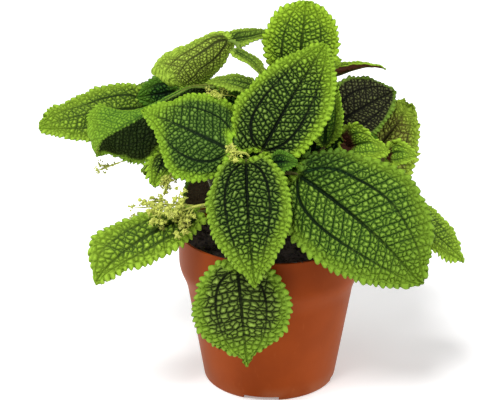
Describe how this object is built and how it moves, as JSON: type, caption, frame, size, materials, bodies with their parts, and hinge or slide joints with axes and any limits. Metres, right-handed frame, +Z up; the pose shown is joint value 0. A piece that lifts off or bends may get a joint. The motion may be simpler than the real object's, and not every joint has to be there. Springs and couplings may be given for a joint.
{
  "type": "potted houseplant",
  "caption": "Bushy houseplant with large quilted, toothed leaves and small flower sprays, in a tapered round plastic nursery pot with a collar.",
  "frame": {"origin": "centre of the pot's underside, on the surface it stands on, on the pot's axis", "axes": "+Z up along the pot's axis; the plant's front looks along -Y, and +X is to the right seen from the front"},
  "size_m": [0.2739, 0.2129, 0.2459],
  "materials": {
    "pot": "satin",
    "soil": "matte",
    "stem": "matte",
    "leaf": "satin",
    "flower": "matte"
  },
  "bodies": {
    "root": {"pot": "pot", "soil": "soil", "stem_front": "stem", "stem_tall": "stem", "stem_left": "stem", "stem_right": "stem", "stem_back_left": "stem", "stem_back_right": "stem", "leaf_centre": "leaf", "leaf_front": "leaf", "leaf_left": "leaf", "leaf_right": "leaf", "leaf_pot": "leaf", "leaf_front_bud": "leaf", "leaf_top": "leaf", "leaf_edge_right": "leaf", "leaf_upper_left": "leaf", "leaf_upper_right": "leaf", "leaf_strip": "leaf", "leaf_sliver": "leaf", "leaf_roof": "leaf", "leaf_inner": "leaf", "leaf_inner_right": "leaf", "leaf_far_left": "leaf", "leaf_left_dark": "leaf", "leaf_ragged": "leaf", "leaf_low_left": "leaf", "leaf_dark": "leaf", "leaf_right_back": "leaf", "leaf_young_a": "leaf", "leaf_young_b": "leaf", "leaf_far_right": "leaf", "leaf_back_crown": "leaf", "leaf_back_left_high": "leaf", "leaf_back_high": "leaf", "leaf_back_left_low": "leaf", "leaf_back_hang": "leaf", "leaf_back_right_high": "leaf", "leaf_back_middle": "leaf", "leaf_back_right_low": "leaf", "leaf_back_right_hang": "leaf", "leaf_back_sprig": "leaf", "leaf_back_inner": "leaf", "leaf_back_upright": "leaf", "flowers_left": "flower", "flowers_left_low": "flower", "flowers_left_loop": "flower", "flowers_far_left": "flower", "flowers_centre": "flower", "flowers_upper": "flower"}
  },
  "joints": []
}
